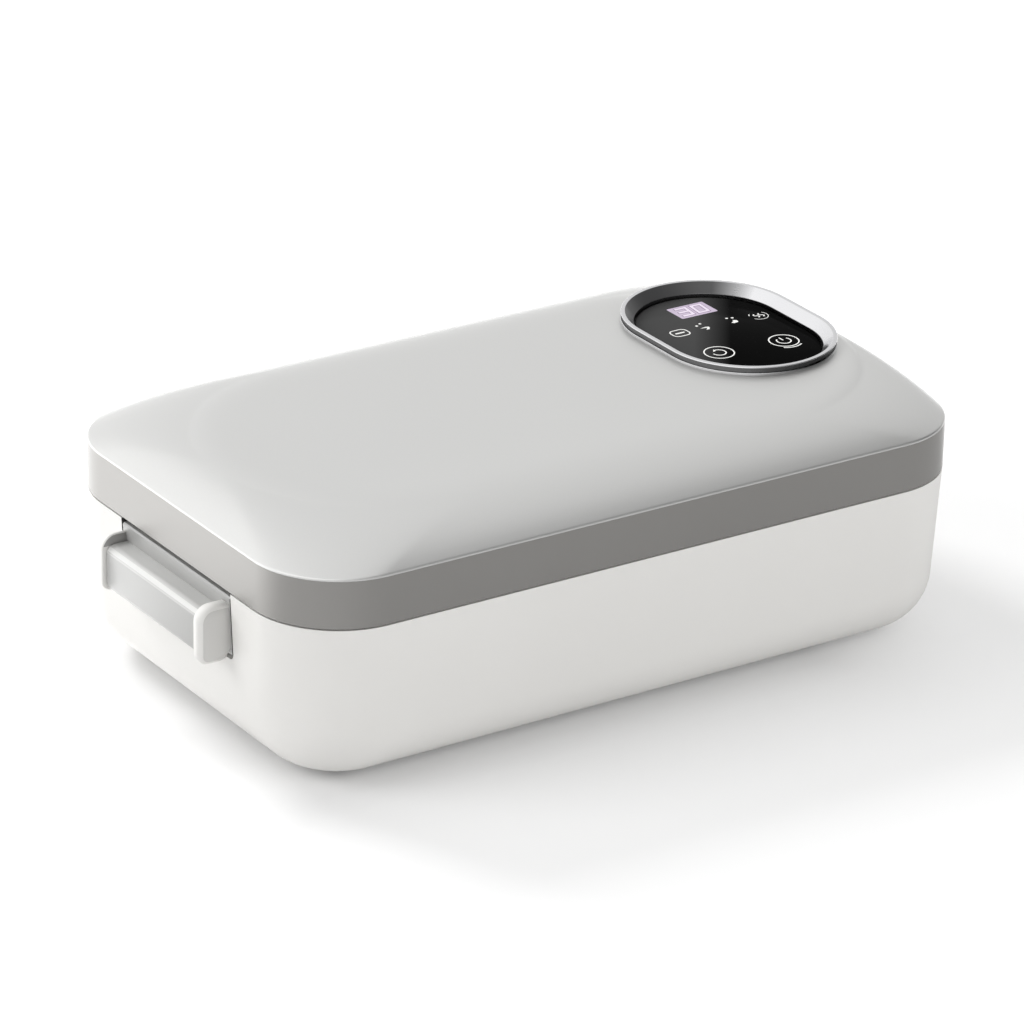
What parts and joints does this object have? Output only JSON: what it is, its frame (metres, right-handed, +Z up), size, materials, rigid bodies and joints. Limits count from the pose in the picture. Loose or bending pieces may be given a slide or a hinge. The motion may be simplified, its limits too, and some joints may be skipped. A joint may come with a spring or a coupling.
{
  "type": "electric lunch box",
  "caption": "Flat electric lunch box with a hinged silver lid, an end latch, a touch panel on the lid and a steel tray over a heating well.",
  "frame": {"origin": "on the table under the centre of the box, the feet standing on z = 0", "axes": "+Z up; +X towards the hinge end, -X the latch end; -Y the long side that the display is read from"},
  "size_m": [0.2586, 0.145, 0.0816],
  "materials": {
    "white_plastic": "satin",
    "lid_silver": "satin metallic paint",
    "band_silver": "satin metallic paint",
    "latch_silver": "satin metallic paint",
    "bright_trim": "bright plated",
    "black_glass": "polished, printed black behind",
    "display": "lit window",
    "stainless": "brushed",
    "zinc": "zinc plated",
    "aluminium": "rolled",
    "element_case": "anodised",
    "grey_rubber": "matte",
    "silicone": "matte",
    "brown_plastic": "matte",
    "ceramic": "glazed",
    "pad_felt": "fibrous",
    "black_plastic": "fine spark-eroded",
    "plated_brass": "nickel plated",
    "board_green": "solder mask",
    "relay_blue": "gloss",
    "capacitor_yellow": "matte"
  },
  "bodies": {
    "base": {"outer_shell": "white_plastic", "bottom_cover": "white_plastic", "cover_screws": "zinc", "rubber_feet": "grey_rubber", "case_screws": "zinc", "deck_frame": "white_plastic", "heating_well": "stainless", "food_tray": "stainless", "tray_divider": "stainless", "heat_spreader": "aluminium", "heating_element": "element_case", "element_clamps": "stainless", "clamp_screws": "zinc", "thermostat": "brown_plastic", "thermal_fuse": "ceramic", "fuse_clip": "stainless", "insulation_pad": "pad_felt", "power_inlet": "black_plastic", "inlet_pins": "plated_brass", "power_board": "board_green", "power_board_screws": "zinc", "power_relay": "relay_blue", "power_capacitor": "capacitor_yellow", "hinge_pin": "stainless", "latch_pin": "stainless"},
    "lid": {"lid_top": "lid_silver", "lid_band": "band_silver", "lid_liner": "white_plastic", "lid_gasket": "silicone", "lid_screws": "zinc", "latch_keeper": "stainless", "keeper_screws": "zinc", "panel_bezel": "bright_trim", "panel_glass": "black_glass", "display_module": "display", "control_board": "board_green", "control_board_screws": "zinc", "key_springs": "stainless", "buzzer": "black_plastic"},
    "latch": {"latch_plate": "latch_silver", "latch_grip": "latch_silver", "latch_caps": "white_plastic", "grip_screws": "zinc"}
  },
  "joints": [
    {"name": "lid_hinge", "type": "hinge", "parent": "base", "child": "lid", "pos_m": [0.125, 0, 0.0575], "axis": [0, 1, 0], "range_deg": [0, 100]},
    {"name": "latch_pivot", "type": "hinge", "parent": "base", "child": "latch", "pos_m": [-0.11624, 0, 0.0355], "axis": [0, -1, 0], "range_deg": [0, 30]}
  ]
}
